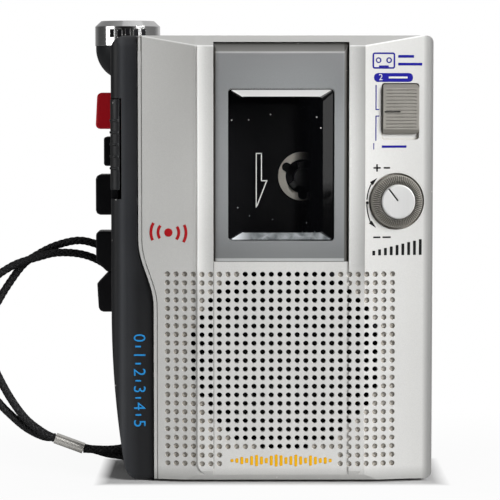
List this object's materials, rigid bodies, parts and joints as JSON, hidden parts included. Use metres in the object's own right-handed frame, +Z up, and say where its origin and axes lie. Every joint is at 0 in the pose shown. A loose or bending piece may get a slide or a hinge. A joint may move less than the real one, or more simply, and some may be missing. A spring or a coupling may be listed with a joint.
{
  "type": "cassette recorder",
  "caption": "Hand-held cassette recorder with a hinged silver lid, perforated speaker grille, smoked tape window, side keys, dial, top microphone and a cord wrist strap.",
  "frame": {"origin": "middle of the base on the table, under the middle of the body's width and depth", "axes": "+X to the right as seen from the front, +Y from the front to the back, +Z up"},
  "size_m": [0.1268, 0.0407, 0.1205],
  "materials": {
    "silver_plastic": "satin silver paint",
    "charcoal_plastic": "satin charcoal",
    "black_plastic": "satin black",
    "red_plastic": "semi-gloss red",
    "bezel_plastic": "grey satin",
    "smoked_lens": "smoked clear plastic",
    "grey_plastic": "grey satin",
    "dial_metal": "bright satin",
    "chrome": "bright plated",
    "steel": "bright steel",
    "brass": "turned",
    "rubber": "matt",
    "cloth": "open weave",
    "speaker_steel": "stamped",
    "magnet": "plain",
    "cone_paper": "matt paper",
    "board": "coated board",
    "motor_can": "plated can",
    "reel_plastic": "light grey",
    "cord": "braided black"
  },
  "bodies": {
    "case": {"rear_cabinet": "charcoal_plastic", "key_panel": "charcoal_plastic", "deck_plate": "black_plastic", "main_board": "board", "motor": "motor_can", "capstan_bearing": "brass", "drive_belt": "rubber", "battery_contacts": "steel", "jack_block": "black_plastic", "volume_control": "black_plastic", "mic_housing": "charcoal_plastic", "mic_grille": "chrome", "mic_capsule": "dial_metal", "strap_pin": "steel", "case_screws": "steel", "strap_tail": "cord", "strap_crimp": "chrome", "strap_hand_loop": "cord"},
    "lid": {"lid_front": "silver_plastic", "lid_frame": "silver_plastic", "lid_inner_panel": "black_plastic", "window_bezel": "bezel_plastic", "window_lens": "smoked_lens", "dust_cloth": "cloth", "speaker_frame": "speaker_steel", "speaker_magnet": "magnet", "speaker_cone": "cone_paper", "cassette_springs": "steel", "hinge_pins": "steel", "speed_control": "black_plastic", "switch_body": "black_plastic"},
    "dial": {"speed_dial": "grey_plastic", "dial_cap": "dial_metal"},
    "tape_switch": {"tape_switch": "grey_plastic"},
    "record_key": {"record_key": "red_plastic"},
    "stop_key": {"stop_key": "black_plastic"},
    "play_key": {"play_key": "black_plastic"},
    "forward_key": {"forward_key": "black_plastic"},
    "rewind_key": {"rewind_key": "black_plastic"},
    "pause_slider": {"pause_slider": "black_plastic"},
    "heads": {"head_carriage": "steel", "playback_head": "steel", "erase_head": "black_plastic", "pinch_arm": "steel"},
    "pinch_roller": {"pinch_roller": "rubber"},
    "supply_reel": {"supply_spindle": "reel_plastic"},
    "takeup_reel": {"takeup_spindle": "reel_plastic"},
    "flywheel": {"capstan": "steel", "flywheel": "brass"},
    "idler": {"idler_wheel": "rubber"},
    "motor_pulley": {"motor_pulley": "brass"},
    "battery_door": {"battery_door": "charcoal_plastic"},
    "volume_wheel": {"volume_wheel": "black_plastic"}
  },
  "joints": [
    {"name": "lid_hinge", "type": "hinge", "parent": "case", "child": "lid", "pos_m": [0.0402, -0.00395, 0.0581], "axis": [0, 0, 1], "range_deg": [0, 80]},
    {"name": "dial_turn", "type": "hinge", "parent": "lid", "child": "dial", "pos_m": [0.0323, -0.01665, 0.0733], "axis": [0.1736, -0.9848, 0], "range_deg": [-8, 112]},
    {"name": "tape_switch_slide", "type": "slide", "parent": "lid", "child": "tape_switch", "axis": [0, 0, -1], "range_m": [0, 0.0013]},
    {"name": "record_press", "type": "slide", "parent": "case", "child": "record_key", "axis": [1, 0, 0], "range_m": [0, 0.0035], "stiffness_N_per_m": 300},
    {"name": "stop_press", "type": "slide", "parent": "case", "child": "stop_key", "axis": [1, 0, 0], "range_m": [0, 0.0016], "stiffness_N_per_m": 300},
    {"name": "play_press", "type": "slide", "parent": "case", "child": "play_key", "axis": [1, 0, 0], "range_m": [0, 0.0035]},
    {"name": "forward_press", "type": "slide", "parent": "case", "child": "forward_key", "axis": [1, 0, 0], "range_m": [0, 0.0035], "stiffness_N_per_m": 300},
    {"name": "rewind_press", "type": "slide", "parent": "case", "child": "rewind_key", "axis": [1, 0, 0], "range_m": [0, 0.0035], "stiffness_N_per_m": 300},
    {"name": "pause_slide", "type": "slide", "parent": "case", "child": "pause_slider", "axis": [0, 0, -1], "range_m": [0, 0.0022]},
    {"name": "head_slide", "type": "slide", "parent": "case", "child": "heads", "axis": [1, 0, 0], "range_m": [0, 0.0035], "stiffness_N_per_m": 400},
    {"name": "pinch_spin", "type": "hinge", "parent": "heads", "child": "pinch_roller", "pos_m": [-0.0298, 0, 0.03245], "axis": [0, 1, 0], "continuous": true},
    {"name": "supply_spin", "type": "hinge", "parent": "case", "child": "supply_reel", "pos_m": [0.0083, 0, 0.0792], "axis": [0, 1, 0], "continuous": true},
    {"name": "takeup_spin", "type": "hinge", "parent": "case", "child": "takeup_reel", "pos_m": [0.0083, 0, 0.0367], "axis": [0, 1, 0], "continuous": true},
    {"name": "flywheel_spin", "type": "hinge", "parent": "case", "child": "flywheel", "pos_m": [-0.02, 0, 0.03245], "axis": [0, 1, 0], "continuous": true},
    {"name": "idler_spin", "type": "hinge", "parent": "case", "child": "idler", "pos_m": [-0.00843, 0, 0.03419], "axis": [0, 1, 0], "continuous": true},
    {"name": "motor_spin", "type": "hinge", "parent": "case", "child": "motor_pulley", "pos_m": [0.02399, 0, 0.02], "axis": [0, 1, 0], "continuous": true},
    {"name": "battery_door_hinge", "type": "hinge", "parent": "case", "child": "battery_door", "pos_m": [0.0255, 0.0173, 0.0602], "axis": [-1, 0, 0], "range_deg": [0, 90]},
    {"name": "volume_turn", "type": "hinge", "parent": "case", "child": "volume_wheel", "pos_m": [0.0367, 0.009, 0.0457], "axis": [0, 0, 1], "range_deg": [-150, 150]}
  ],
  "couplings": [
    {"joint": "play_press", "follows": "head_slide", "ratio": 1},
    {"joint": "idler_spin", "follows": "flywheel_spin", "ratio": -0.54054},
    {"joint": "takeup_spin", "follows": "flywheel_spin", "ratio": 0.43396},
    {"joint": "motor_spin", "follows": "flywheel_spin", "ratio": 3.4}
  ]
}
